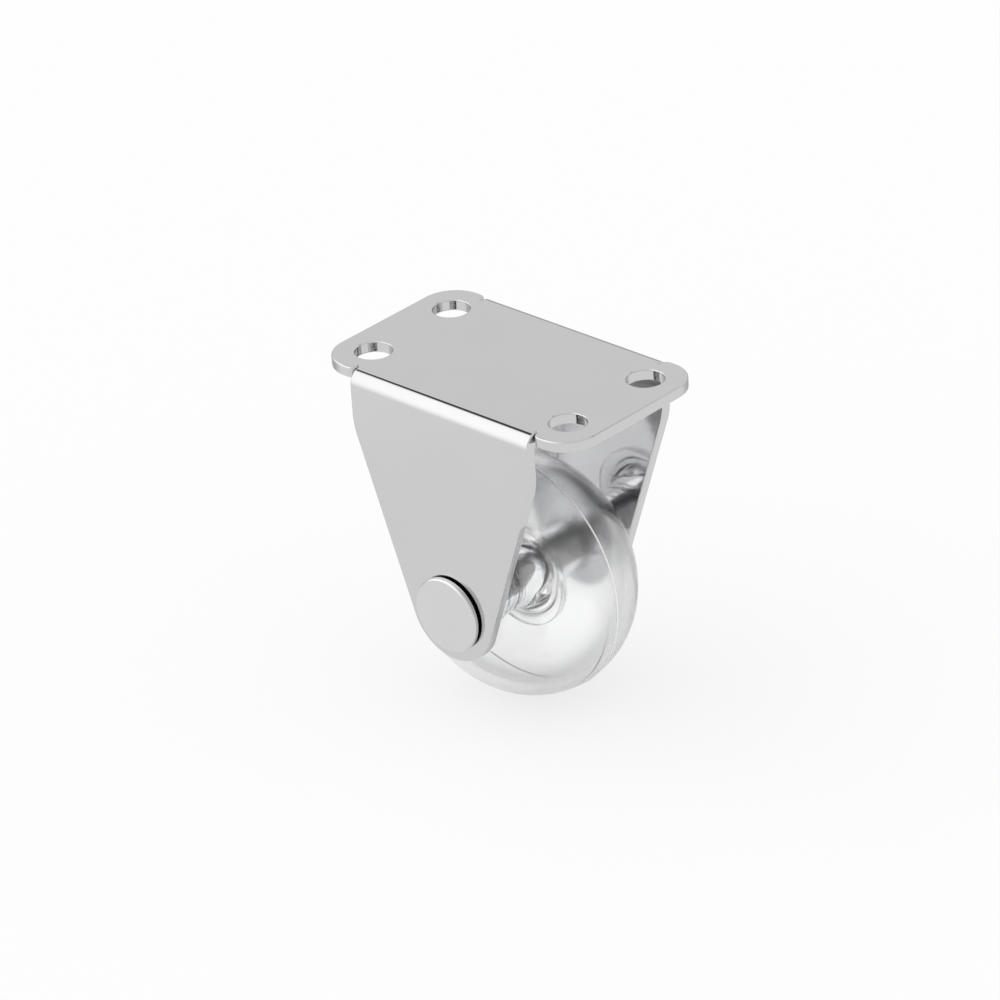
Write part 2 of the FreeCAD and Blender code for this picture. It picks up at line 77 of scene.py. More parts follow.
class Workpiece:
    """One mesh object while it is shaped in edit mode, with a millimetre as its unit.

    Args:
        name: The finished piece's name.
    """

    def __init__(self, name: str) -> None:
        """Starts the piece as a single vertex at the row's origin."""
        deselect_everything()
        bpy.ops.mesh.primitive_plane_add(size=1, location=(0, 0, 0))
        self.obj: bpy.types.Object = bpy.context.object
        self.obj.name = name
        self.obj.data.name = name
        bpy.ops.object.mode_set(mode="EDIT")
        bpy.ops.mesh.select_mode(type="VERT")
        bpy.ops.mesh.merge(type="CENTER")

    def select(
        self,
        verts: Callable[[Vector], bool] | None = None,
        edges: Callable[[Vector, Vector], bool] | None = None,
        faces: Callable[[Vector, Vector], bool] | None = None,
    ) -> None:
        """Selects what a test picks, and nothing else.

        Args:
            verts: Test on a vertex's place.
            edges: Test on an edge's two ends.
            faces: Test on a face's centre and normal.
        """
        kind = "VERT" if verts else "EDGE" if edges else "FACE"
        bpy.ops.mesh.select_mode(type=kind)
        bpy.ops.mesh.select_all(action="DESELECT")
        bpy.ops.object.mode_set(mode="OBJECT")
        mesh = self.obj.data
        if verts:
            picked = [vert for vert in mesh.vertices if verts(vert.co)]
        elif edges:
            ends = [[mesh.vertices[i].co for i in edge.vertices] for edge in mesh.edges]
            picked = [edge for edge, pair in zip(mesh.edges, ends) if edges(*pair)]
        else:
            picked = [face for face in mesh.polygons if faces(face.center, face.normal)]
        for element in picked:
            element.select = True
        bpy.ops.object.mode_set(mode="EDIT")

    def finish(self, material: bpy.types.Material) -> bpy.types.Object:
        """Brings the piece to metres and dresses it.

        Args:
            material: Its one material.

        Returns:
            The finished object.
        """
        self.move(Matrix.Scale(MM, 4))
        dress(self.obj, material)
        return self.obj

    def move(self, change: Matrix) -> None:
        """Moves or turns the whole mesh."""
        leave_edit_mode()
        self.obj.data.transform(change)

    @staticmethod
    def weld() -> None:
        """Merges what lies together in the edited mesh and turns all its normals outwards."""
        bpy.ops.mesh.select_all(action="SELECT")
        bpy.ops.mesh.remove_doubles(threshold=MERGE)
        bpy.ops.mesh.select_all(action="SELECT")
        bpy.ops.mesh.normals_make_consistent(inside=False)

    def modify(self, kind: str, **settings: object) -> None:
        """Adds a modifier with its settings and applies it.

        Args:
            kind: The modifier's type.
            **settings: Its properties.
        """
        leave_edit_mode()
        bpy.context.view_layer.objects.active = self.obj
        bpy.ops.object.modifier_add(type=kind)
        modifier = self.obj.modifiers[-1]
        for key, value in settings.items():
            setattr(modifier, key, value)
        bpy.ops.object.modifier_apply(modifier=modifier.name)

    def break_edges(self, width: float, angle: float, segments: int = 3, **settings: object) -> None:
        """Rounds the sharp edges.

        Args:
            width: How far the rounding reaches to each side, in millimetres.
            angle: An edge is sharp if it turns by more than this, in degrees.
            segments: How many facets the rounding has.
            **settings: Other properties of the bevel.
        """
        limit = math.radians(angle)
        self.modify(
            "BEVEL", width=width, segments=segments, limit_method="ANGLE", angle_limit=limit, **settings
        )

    def join(self, *others: "Workpiece") -> "Workpiece":
        """Takes other pieces' meshes into this one as they are.

        Args:
            *others: The pieces that go into it.

        Returns:
            The piece itself.
        """
        deselect_everything()
        for piece in (self, *others):
            piece.obj.select_set(True)
        bpy.context.view_layer.objects.active = self.obj
        bpy.ops.object.join()
        return self

    def carve(self, cutter: "Workpiece") -> None:
        """Cuts another piece out of this one and clears it away.

        Args:
            cutter: The piece that is cut out.
        """
        deselect_everything()
        self.modify("BOOLEAN", operation="DIFFERENCE", solver="EXACT", object=cutter.obj)
        deselect_everything()
        cutter.obj.select_set(True)
        bpy.ops.object.delete()

    def smooth(self, angle: float) -> None:
        """Shades smooth across the gentler edges.

        Args:
            angle: An edge stays sharp if it turns by more than this, in degrees.
        """
        deselect_everything()
        self.obj.select_set(True)
        bpy.context.view_layer.objects.active = self.obj
        bpy.ops.object.shade_smooth_by_angle(angle=math.radians(angle))


class Lathe:
    """Draws a section in the plane of an axis along Y, and turns it into a solid.

    A section point is (y, r) in millimetres: its place along the axle and its distance from it.

    Args:
        name: The finished piece's name.
        drop: The axle's depth below the row's origin.
        start: The section's first point.
    """

    def __init__(self, name: str, drop: float, start: Point) -> None:
        """Sets the first section point."""
        self.work = Workpiece(name)
        self.drop = drop
        self.here = start
        bpy.ops.transform.translate(value=self._place(start))

    def _place(self, point: Point) -> Vector:
        """A section point in the row frame."""
        return Vector((0, point[0], point[1] - self.drop))

    def line(self, *points: Point) -> None:
        """Draws straight edges on to each point in turn.

        Args:
            *points: The section points.
        """
        for point in points:
            step = self._place(point) - self._place(self.here)
            bpy.ops.mesh.extrude_vertices_move(TRANSFORM_OT_translate={"value": step})
            self.here = point

    def arc(self, centre: Point, end: Point, steps: int) -> None:
        """Draws an arc on to a point.

        Args:
            centre: The arc's centre.
            end: The arc's last point.
            steps: How many edges it has.
        """
        first = math.atan2(self.here[1] - centre[1], self.here[0] - centre[0])
        last = math.atan2(end[1] - centre[1], end[0] - centre[0])
        turn = (last - first + math.pi) % (2 * math.pi) - math.pi
        bpy.ops.mesh.spin(steps=steps, angle=-turn, center=self._place(centre), axis=(1, 0, 0))
        self.here = end

    def turn(self, steps: int) -> Workpiece:
        """Turns the section about the axle and closes it.

        Args:
            steps: How many facets go round.

        Returns:
            The turned piece, still in edit mode.
        """
        bpy.ops.mesh.select_all(action="SELECT")
        bpy.ops.mesh.spin(steps=steps, angle=2 * math.pi, center=self._place((0, 0)), axis=(0, 1, 0))
        self.work.weld()
        return self.work


# Shader node helpers


class Wiring:
    """A node tree while it is being wired.

    Args:
        tree: The tree, which is emptied first.
    """

    def __init__(self, tree: bpy.types.NodeTree) -> None:
        """Empties the tree."""
        self.nodes = tree.nodes
        self.links = tree.links
        self.nodes.clear()

    def add(self, kind: str, **values: object) -> bpy.types.Node:
        """Adds a shader node.

        Args:
            kind: The node's type without the ShaderNode prefix.
            **values: Its properties, or its inputs by name with spaces as underscores. An input takes
                a value, or the output that is wired to it.

        Returns:
            The node.
        """
        node = self.nodes.new("ShaderNode" + kind)
        for key, value in values.items():
            label = key.replace("_", " ")
            if label in node.inputs:
                self.feed(node.inputs[label], value)
            else:
                setattr(node, key, value)
        return node

    def feed(self, target: Socket, value: object) -> None:
        """Wires an output to an input, or gives the input a value.

        Args:
            target: The input.
            value: The output or the value.
        """
        if isinstance(value, Socket):
            self.links.new(value, target)
        else:
            target.default_value = value

    def calculate(self, kind: str, operation: str, *values: object) -> Socket:
        """Works out a number or a vector.

        Args:
            kind: Math or VectorMath.
            operation: The operation's name.
            *values: What it works on, or the outputs that give it.

        Returns:
            The result.
        """
        node = self.add(kind, operation=operation)
        for target, value in zip(node.inputs, values):
            self.feed(target, value)
        number = kind == "Math" or operation in ("DOT_PRODUCT", "LENGTH")
        return node.outputs["Value" if number else "Vector"]

    def math(self, operation: str, *values: object) -> Socket:
        """Works out a number from numbers."""
        return self.calculate("Math", operation, *values)

    def vector(self, operation: str, *values: object) -> Socket:
        """Works out a vector, or a number where the operation gives one."""
        return self.calculate("VectorMath", operation, *values)

    def ramp(
        self, value: Socket, start: float, end: float, first: float, last: float, eased: bool = False
    ) -> Socket:
        """Maps a value's range to another, held at both ends.

        Args:
            value: The value.
            start: Where its range starts.
            end: Where its range ends.
            first: The result at the start.
            last: The result at the end.
            eased: Whether it starts and ends gently.

        Returns:
            The mapped value.
        """
        ramp = self.add(
            "MapRange",
            interpolation_type="SMOOTHSTEP" if eased else "LINEAR",
            Value=value,
            From_Min=start,
            From_Max=end,
            To_Min=first,
            To_Max=last,
        )
        return ramp.outputs["Result"]

    def tint(self, factor: Socket, first: Color | Socket, second: Color | Socket) -> Socket:
        """Mixes two colours.

        Args:
            factor: 0 for the first colour, 1 for the second.
            first: A linear colour, or an output that gives one.
            second: The other colour.

        Returns:
            The mixed colour.
        """
        mix = self.add("Mix", data_type="RGBA", Factor=factor)
        colors, mixed = mix.inputs[6:8], mix.outputs[2]
        for target, color in zip(colors, (first, second)):
            self.feed(target, (*color, 1) if isinstance(color, tuple) else color)
        return mixed

    def place(self) -> Socket:
        """The shaded point's object coordinates."""
        return self.add("TexCoord").outputs["Object"]

    def noise(self, place: Socket, scale: float | Socket, detail: float, roughness: float = 0.5) -> Socket:
        """Random clouds, from 0 to 1."""
        clouds = self.add("TexNoise", Vector=place, Scale=scale, Detail=detail, Roughness=roughness)
        return clouds.outputs["Fac"]


class Shader(Wiring):
    """A material while it is being wired.

    Args:
        name: The material's name.
    """

    def __init__(self, name: str) -> None:
        """Starts an empty material."""
        self.material = bpy.data.materials.new(name)
        self.material.use_nodes = True
        super().__init__(self.material.node_tree)

    def surface(self, shader: bpy.types.Node) -> bpy.types.Material:
        """Puts a shader on the surface.

        Args:
            shader: The shader's node.

        Returns:
            The material.
        """
        self.add("OutputMaterial", Surface=shader.outputs[0])
        return self.material


def plating_group() -> bpy.types.NodeTree:
    """The unevenness of bright plating on rolled sheet: cloudiness and fine polishing lines.

    Returns:
        The node group.
    """
    found = bpy.data.node_groups.get("plating_unevenness")
    if found:
        return found
    tree = bpy.data.node_groups.new("plating_unevenness", "ShaderNodeTree")
    for direction, kind, names in (
        ("INPUT", "Float", ("Cloud Scale", "Line Scale", "Roughness", "Roughness Spread")),
        ("INPUT", "Color", ("Tint", "Darker Tint")),
        ("OUTPUT", "Color", ("Color",)),
        ("OUTPUT", "Float", ("Roughness", "Height")),
    ):
        for name in names:
            tree.interface.new_socket(name=name, in_out=direction, socket_type="NodeSocket" + kind)
    wiring = Wiring(tree)
    given = wiring.nodes.new("NodeGroupInput").outputs
    out = wiring.nodes.new("NodeGroupOutput").inputs
    place = wiring.place()
    cloud = wiring.noise(place, given["Cloud Scale"], detail=3.0, roughness=0.55)
    line_stretch, line_depth = (0.06, 1.0, 1.0), 0.3
    stretch = wiring.add("Mapping", vector_type="POINT", Vector=place, Scale=line_stretch)
    lines = wiring.noise(stretch.outputs["Vector"], given["Line Scale"], detail=2.0)
    rough = wiring.math("MULTIPLY_ADD", cloud, given["Roughness Spread"], given["Roughness"])
    wiring.feed(out["Color"], wiring.tint(cloud, given["Tint"], given["Darker Tint"]))
    wiring.feed(out["Roughness"], rough)
    wiring.feed(out["Height"], wiring.math("MULTIPLY_ADD", lines, line_depth, cloud))
    return tree


@dataclass(frozen=True)
class Plating:
    """Bright plating on steel.

    Attributes:
        name: The material's name.
        tint: Linear colour where the plating is brightest.
        darker: Linear colour of its cloudier parts.
        roughness: Lowest roughness.
        spread: How much the cloudy parts add.
        cloud_scale: Size of the clouds, per metre.
        line_scale: Fineness of the polishing lines, per metre.
        bump: Depth of the unevenness, in metres.
        shank_shade_tint: Linear colour of the painted shade on the shank between the legs, if there is any.
        shank_shade_half: Half the length along Y of the painted shade on the shank, in metres.
        shank_shade_fade: Over how much of Y the painted shade fades out, in metres.
        shade_roughness: How much rougher the parts with painted shade are.
        shaded_groove: Y of the groove under the head, which is also darkened as painted shade, in metres.
        shaded_groove_half: Half the groove's width along Y, in metres.
    """

    name: str
    tint: Color
    darker: Color
    roughness: float
    spread: float
    cloud_scale: float
    line_scale: float
    bump: float
    shank_shade_tint: Color | None = None
    shank_shade_half: float = 0.0
    shank_shade_fade: float = 0.2 * MM
    shade_roughness: float = 0.0
    shaded_groove: float = 0.0
    shaded_groove_half: float = 0.0

    def material(self) -> bpy.types.Material:
        """Wires the plating's material.

        Returns:
            The material.
        """
        shader = Shader(self.name)
        uneven = shader.add(
            "Group",
            node_tree=plating_group(),
            Cloud_Scale=self.cloud_scale,
            Line_Scale=self.line_scale,
            Roughness=self.roughness,
            Roughness_Spread=self.spread,
            Tint=(*self.tint, 1),
            Darker_Tint=(*self.darker, 1),
        ).outputs
        color, rough = uneven["Color"], uneven["Roughness"]
        # Painted shade: the shank between the legs and the groove under the head are darkened.
        if self.shank_shade_tint:
            color, rough = self._paint_shank_shade(shader, color, rough)
        bump = shader.add("Bump", Strength=0.5, Distance=self.bump, Height=uneven["Height"])
        normal = bump.outputs["Normal"]
        metal = shader.add("BsdfPrincipled", Base_Color=color, Metallic=1.0, Roughness=rough, Normal=normal)
        return shader.surface(metal)

    def _paint_shank_shade(self, shader: Shader, color: Socket, rough: Socket) -> tuple[Socket, Socket]:
        """Darkens the shank between the legs and the groove under the head with painted shade.

        Args:
            shader: The material.
            color: The plating's colour.
            rough: The plating's roughness.

        Returns:
            Colour and roughness, with the painted shade laid in.
        """
        y = shader.add("SeparateXYZ", Vector=shader.place()).outputs["Y"]
        between = shader.math("ABSOLUTE", y)
        shank_shade = shader.ramp(between, self.shank_shade_half, self.shank_shade_half + self.shank_shade_fade, 1.0, 0.0)
        painted_shade = shader.math("MAXIMUM", shank_shade, shader.math("COMPARE", y, self.shaded_groove, self.shaded_groove_half))
        dull = shader.math("MULTIPLY_ADD", painted_shade, self.shade_roughness, rough)
        return shader.tint(painted_shade, color, self.shank_shade_tint), dull


@dataclass(frozen=True)
class ClearPlastic:
    """Clear moulded plastic, duller on the tread, and darker as painted shade where the wall is seen edge
    on.

    Attributes:
        name: The material's name.
        tint: Linear colour of what passes straight through.
        edge_shade_tint: Linear colour of what passes at a slant: painted shade where the wall is seen edge
            on.
        edge_from: How far from face on the painted edge shade starts, from 0 to 1.
        edge_to: How far from face on it is full.
        roughness: Lowest roughness of the moulded skin.
        spread: How much its duller parts add.
        tread_roughness: How much the tread adds.
        refraction: Index of refraction.
        haze_scale: Size of the duller parts, per metre.
        axle_drop: The axle's depth below the row's origin, in metres.
        tread_from: Distance from the axle at which the tread starts, in metres.
        haze_span: The haze's values at which the duller parts start and are full.
    """

    name: str
    tint: Color
    edge_shade_tint: Color
    edge_from: float
    edge_to: float
    roughness: float
    spread: float
    tread_roughness: float
    refraction: float
    haze_scale: float
    axle_drop: float
    tread_from: float
    haze_span: Point = (0.45, 0.75)

    def material(self) -> bpy.types.Material:
        """Wires the plastic's material.

        Returns:
            The material.
        """
        shader = Shader(self.name)
        # Painted shade: the colour darkens where the wall is seen edge on.
        slant = shader.add("LayerWeight", Blend=0.5).outputs["Facing"]
        edge = shader.ramp(slant, self.edge_from, self.edge_to, 0.0, 1.0)
        body = shader.add(
            "BsdfPrincipled",
            Base_Color=shader.tint(edge, self.tint, self.edge_shade_tint),
            Metallic=0.0,
            Roughness=self._dullness(shader),
            IOR=self.refraction,
            Transmission_Weight=1.0,
        )
        return shader.surface(body)

    def _dullness(self, shader: Shader) -> Socket:
        """The skin's roughness: cloudy, and more on the tread.

        Args:
            shader: The material.

        Returns:
            The roughness.
        """
        place = shader.place()
        haze = shader.noise(place, self.haze_scale, detail=2.0)
        cloudy = shader.ramp(haze, *self.haze_span, self.roughness, self.roughness + self.spread)
        arm = shader.vector("SUBTRACT", place, (0, 0, -self.axle_drop))
        reach = shader.vector("LENGTH", shader.vector("MULTIPLY", arm, (1, 0, 1)))
        tread = shader.ramp(reach, self.tread_from, self.tread_from + MM, 0.0, self.tread_roughness)
        return shader.math("ADD", cloudy, tread)


@dataclass(frozen=True)
class BeadPlastic:
    """Plastic of the weld seam, white as a painted highlight along the seam's ridge.

    Attributes:
        name: The material's name.
        tint: Linear colour of its duller grains.
        paler: Linear colour of its whiter grains.
        roughness: How rough it is.
        grain: Size of the grains, per metre.
    """

    name: str
    tint: Color
    paler: Color
    roughness: float
    grain: float

    def material(self) -> bpy.types.Material:
        """Wires the bead's material.

        Returns:
            The material.
        """
        shader = Shader(self.name)
        grains = shader.noise(shader.place(), self.grain, detail=2.0)
        color = shader.tint(grains, self.tint, self.paler)
        return shader.surface(
            shader.add("BsdfPrincipled", Base_Color=color, Metallic=0.0, Roughness=self.roughness)
        )


def dress(obj: bpy.types.Object, material: bpy.types.Material) -> None:
    """Gives a piece its one material."""
    obj.data.materials.clear()
    obj.data.materials.append(material)


# Sub-assemblies


@dataclass
class Bracket:
    """The folded sheet: plate, ears, folds and legs. Sizes are in millimetres and degrees."""

    length: float = 47.0
    width: float = 27.4
    corner_radius: float = 5.1
    sheet: float = 1.65
    hole_spacing: Point = (36.0, 15.85)
    hole_radius: float = 2.65
    fork_half: float = 12.925
    bend_inner: float = 0.5
    slit_width: float = 0.14
    slit_depth: float = 0.1
    slit_root_radius: float = 0.06
    ear_corner_radius: float = 1.1
    leg_half: float = 16.4
    side_depth: float = 6.65
    shoulder_radius: float = 9.0
    foot_radius: float = 7.4
    axle_drop: float = 32.5
    edge_rounding: float = 0.24
    hole_edge: float = 0.2
    near_hole_radius: float = 2.55
    far_hole_radius: float = 2.05
    cutter_reach: float = 0.1
    cutter_margin: float = 0.004
    sharp: float = 50.0
    corner_steps: int = 24
    fold_steps: int = 24
    foot_steps: int = 48
    small_corner_steps: int = 12
    fine_steps: int = 6
    hole_facets: int = 96
    finish: Plating = Plating(
        name="bright_plated_sheet",
        tint=(0.61, 0.61, 0.615),
        darker=(0.585, 0.585, 0.59),
        roughness=0.03,
        spread=0.03,
        cloud_scale=90.0,
        line_scale=1400.0,
        bump=0.0000015,
    )

    @property
    def leg_outer(self) -> float:
        """Y of a leg's outer face."""
        return self.fork_half + self.sheet

    @property
    def bend_outer(self) -> float:
        """Outer radius of a fold."""
        return self.bend_inner + self.sheet

    @property
    def bend_line(self) -> float:
        """Y at which the plate starts to fold."""
        return self.leg_outer - self.bend_outer

    @property
    def taper(self) -> float:
        """Angle of a leg's tapers from the upright, in radians, touching shoulder and foot arcs."""
        across = self.leg_half - self.shoulder_radius
        down = self.axle_drop - self.side_depth
        apart = math.hypot(across, down)
        return math.acos((self.foot_radius - self.shoulder_radius) / apart) - math.atan2(down, across)

    def build(self) -> bpy.types.Object:
        """Models the bracket and dresses it.

        Returns:
            The finished piece.
        """
        work = Workpiece("bracket_sheet")
        self._plate(work)
        for side in Side:
            self._fold(work, side)
            self._leg(work, side)
        work.weld()
        self._face_up(work)
        self._thicken(work)
        work.carve(self._holes())
        work.smooth(self.sharp)
        work.modify("WEIGHTED_NORMAL", mode="FACE_AREA", weight=100, keep_sharp=True)
        return work.finish(self.finish.material())

    def _plate(self, work: Workpiece) -> None:
        """Draws the plate as one face, with its round corners and the slits beside its folds.

        Args:
            work: The sheet.
        """
        half_x, half_y = self.length / 2, self.width / 2
        gap, root = self.leg_half + self.slit_width, self.bend_line - self.slit_depth
        bpy.ops.mesh.select_all(action="SELECT")
        bpy.ops.mesh.delete(type="VERT")
        bpy.ops.mesh.primitive_plane_add(size=2, location=(0, 0, 0))
        bpy.ops.transform.resize(value=(half_x, half_y, 1))
        self._round_corners(self.corner_radius, self.corner_steps)
        for x in (-gap, -self.leg_half, self.leg_half, gap):
            self._score(Vector((x, 0, 0)), Vector((1, 0, 0)))
        for y in (-self.bend_line, -root, root, self.bend_line):
            self._score(Vector((0, y, 0)), Vector((0, 1, 0)))
        work.select(faces=lambda centre, _: self._in_gap(centre, gap, root))
        bpy.ops.mesh.delete(type="FACE")
        bpy.ops.mesh.select_all(action="SELECT")
        bpy.ops.mesh.dissolve_faces(use_verts=False)
        bpy.ops.mesh.dissolve_limited(angle_limit=math.radians(0.5))
        work.select(verts=lambda co: abs(abs(co.y) - root) < CLOSE and abs(co.x) < gap + CLOSE)
        self._round_corners(self.slit_root_radius, self.fine_steps)
        work.select(verts=lambda co: abs(abs(co.y) - half_y) < CLOSE and abs(abs(co.x) - gap) < CLOSE)
        self._round_corners(self.ear_corner_radius, self.small_corner_steps)

    @staticmethod
    def _round_corners(tangent: float, segments: int) -> None:
        """Rounds the selected corners of a flat face.

        Args:
            tangent: How far the rounding reaches along the edges, its radius at a square corner.
            segments: How many edges each corner gets.
        """
        bpy.ops.mesh.bevel(
            affect="VERTICES", offset=tangent, offset_type="OFFSET", segments=segments, profile=0.5
        )

    @staticmethod
    def _score(place: Vector, normal: Vector) -> None:
        """Cuts every face of the flat sheet along a line through a place in millimetres."""
        bpy.ops.mesh.select_all(action="SELECT")
        bpy.ops.mesh.bisect(plane_co=place, plane_no=normal)

    def _in_gap(self, centre: Vector, gap: float, root: float) -> bool:
        """Whether a face of the blank lies in the strip that the fold or a slit takes.

        Args:
            centre: The face's centre.
            gap: X of the slits' outer sides.
            root: Y of the slits' roots.

        Returns:
            True if it does.
        """
        in_strip = abs(centre.x) < self.leg_half and abs(centre.y) > self.bend_line
        in_slit = self.leg_half < abs(centre.x) < gap and abs(centre.y) > root
        return in_strip or in_slit

    def _fold(self, work: Workpiece, side: Side) -> None:
        """Bends the sheet a quarter turn down along one side.

        Args:
            work: The sheet.
            side: The side that is bent.
        """
        line = side.value * self.bend_line

        def on_line(a: Vector, b: Vector) -> bool:
            """Whether an edge is the plate's fold line."""
            along = abs(a.x - b.x) > self.leg_half
            return along and max(abs(a.y - line), abs(b.y - line), abs(a.z), abs(b.z)) < CLOSE

        work.select(edges=on_line)
        centre = Vector((0, line, -self.bend_outer))
        quarter = side.value * math.pi / 2
        bpy.ops.mesh.spin(steps=self.fold_steps, angle=quarter, center=centre, axis=(1, 0, 0))

    def _leg(self, work: Workpiece, side: Side) -> None:
        """Draws a leg as one face, from the end of its fold to its round foot.

        Args:
            work: The sheet.
            side: The leg's side.
        """
        y = side.value * self.leg_outer
        angle = self.taper
        foot_x = self.foot_radius * math.cos(angle)
        foot_z = -self.axle_drop - self.foot_radius * math.sin(angle)
        corner_z = foot_z + (self.leg_half - foot_x) / math.tan(angle)
        fold_z = -self.bend_outer

        def level(z: float) -> Callable[[Vector], bool]:
            """A test for this leg's vertices at a height in millimetres."""
            return lambda co: abs(co.y - y) < CLOSE and abs(co.z - z) < CLOSE

        work.select(edges=lambda a, b: level(fold_z)(a) and level(fold_z)(b))
        bpy.ops.mesh.extrude_edges_move(TRANSFORM_OT_translate={"value": (0, 0, corner_z - fold_z)})
        bpy.ops.mesh.extrude_edges_move(TRANSFORM_OT_translate={"value": (0, 0, foot_z - corner_z)})
        bpy.ops.transform.resize(value=(foot_x / self.leg_half, 1, 1), center_override=(0, y, foot_z))
        work.select(verts=lambda co: level(foot_z)(co) and co.x > 0)
        centre = Vector((0, y, -self.axle_drop))
        turn = 2 * angle - math.pi
        bpy.ops.mesh.spin(steps=self.foot_steps, angle=turn, center=centre, axis=(0, 1, 0))
        work.select(verts=lambda co: abs(co.y - y) < CLOSE and co.z < foot_z + CLOSE)
        bpy.ops.mesh.remove_doubles(threshold=MERGE)
        bpy.ops.mesh.edge_face_add()
        work.select(faces=lambda centre, _: abs(centre.y - y) < CLOSE and centre.z < fold_z - CLOSE)
        bpy.ops.mesh.dissolve_faces(use_verts=False)
        work.select(verts=level(corner_z))
        self._round_corners(self.shoulder_radius * math.tan(angle / 2), self.small_corner_steps)

    @staticmethod
    def _face_up(work: Workpiece) -> None:
        """Turns the sheet's faces so that the plate's look up.

        Args:
            work: The sheet.
        """
        bpy.ops.object.mode_set(mode="OBJECT")
        flat = 0.9
        down = any(face.normal.z < -flat for face in work.obj.data.polygons)
        bpy.ops.object.mode_set(mode="EDIT")
        if down:
            bpy.ops.mesh.select_all(action="SELECT")
            bpy.ops.mesh.flip_normals()

    def _thicken(self, work: Workpiece) -> None:
        """Gives the sheet its thickness and breaks its edges."""
        work.modify("SOLIDIFY", thickness=self.sheet, offset=-1.0, use_even_offset=True, use_rim=True)
        work.break_edges(
            self.edge_rounding, self.sharp, segments=4, use_clamp_overlap=False, miter_outer="MITER_ARC"
        )

    def _holes(self) -> Workpiece:
        """Makes the cutter of all the holes: four for screws and one in each leg.

        Returns:
            The cutter.
        """
        cutters = []
        across, along = self.hole_spacing
        for x in (-across / 2, across / 2):
            for y in (-along / 2, along / 2):
                spool = self._spool(self.hole_radius)
                spool.move(Matrix.Rotation(math.pi / 2, 4, "X"))
                spool.move(Matrix.Translation((x, y, -self.sheet / 2)))
                cutters.append(spool)
        for side, radius in ((Side.NEAR, self.near_hole_radius), (Side.FAR, self.far_hole_radius)):
            spool = self._spool(radius)
            middle = side.value * (self.fork_half + self.sheet / 2)
            spool.move(Matrix.Translation((0, middle, -self.axle_drop)))
            cutters.append(spool)
        return cutters[0].join(*cutters[1:])

    def _spool(self, radius: float) -> Workpiece:
        """A cutter along Y that leaves a hole through the sheet with both its rims rounded.

        Args:
            radius: The hole's radius.

        Returns:
            The cutter, centred on the origin.
        """
        edge = self.hole_edge
        rim = radius + edge
        half = self.sheet / 2 + self.cutter_margin
        end = half + self.cutter_reach
        lathe = Lathe("hole_cutter", 0.0, (-end, 0.0))
        lathe.line((-end, rim), (-half, rim))
        lathe.arc((-half + edge, rim), (-half + edge, radius), self.fine_steps)
        lathe.line((half - edge, radius))
        lathe.arc((half - edge, rim), (half, rim), self.fine_steps)
        lathe.line((end, rim), (end, 0.0))
        return lathe.turn(self.hole_facets)


@dataclass
class Rivet:
    """The axle: broad head, shank, shoulder and peened end. Sizes are in millimetres."""

    axle_drop: float = 32.5
    leg_outer: float = 14.575
    fork_half: float = 12.925
    shank_radius: float = 2.5
    spigot_radius: float = 2.0
    head_radius: float = 5.55
    head_height: float = 1.15
    head_edge: float = 0.35
    head_undercut: float = 0.36
    seat_radius: float = 4.1
    peened_radius: float = 3.8
    peened_height: float = 1.1
    edge_rounding: float = 0.08
    sharp: float = 50.0
    smooth_under: float = 35.0
    facets: int = 128
    head_edge_steps: int = 8
    dome_steps: int = 16
    finish: Plating = Plating(
        name="bright_plated_rivet",
        tint=(0.66, 0.66, 0.665),
        darker=(0.63, 0.63, 0.635),
        roughness=0.05,
        spread=0.04,
        cloud_scale=220.0,
        line_scale=2600.0,
        bump=0.000002,
        # Painted shade: dark on the shank inside the wheel and in the groove under the head.
        shank_shade_tint=(0.30, 0.30, 0.30),
        shank_shade_half=12.8 * MM,
        shade_roughness=0.06,
        shaded_groove=-14.755 * MM,
        shaded_groove_half=0.19 * MM,
    )

    def build(self) -> bpy.types.Object:
        """Turns the rivet and dresses it.

        Returns:
            The finished piece.
        """
        face = -(self.leg_outer + self.head_height)
        back = -(self.leg_outer + self.head_undercut)
        rim = self.head_radius - self.head_edge
        tip = self.leg_outer + self.peened_height
        dome = (self.peened_radius**2 / self.peened_height + self.peened_height) / 2
        lathe = Lathe("riveted_axle", self.axle_drop, (face, 0.0))
        lathe.line((face, rim))
        edge = face + self.head_edge
        lathe.arc((edge, rim), (edge, self.head_radius), self.head_edge_steps)
        lathe.line(
            (back, self.head_radius),
            (back, self.seat_radius),
            (-self.leg_outer, self.seat_radius),
            (-self.leg_outer, self.shank_radius),
            (self.fork_half, self.shank_radius),
            (self.fork_half, self.spigot_radius),
            (self.leg_outer, self.spigot_radius),
            (self.leg_outer, self.peened_radius),
        )
        lathe.arc((tip - dome, 0.0), (tip, 0.0), self.dome_steps)
        work = lathe.turn(self.facets)
        work.break_edges(self.edge_rounding, self.sharp)
        work.smooth(self.smooth_under)
        return work.finish(self.finish.material())


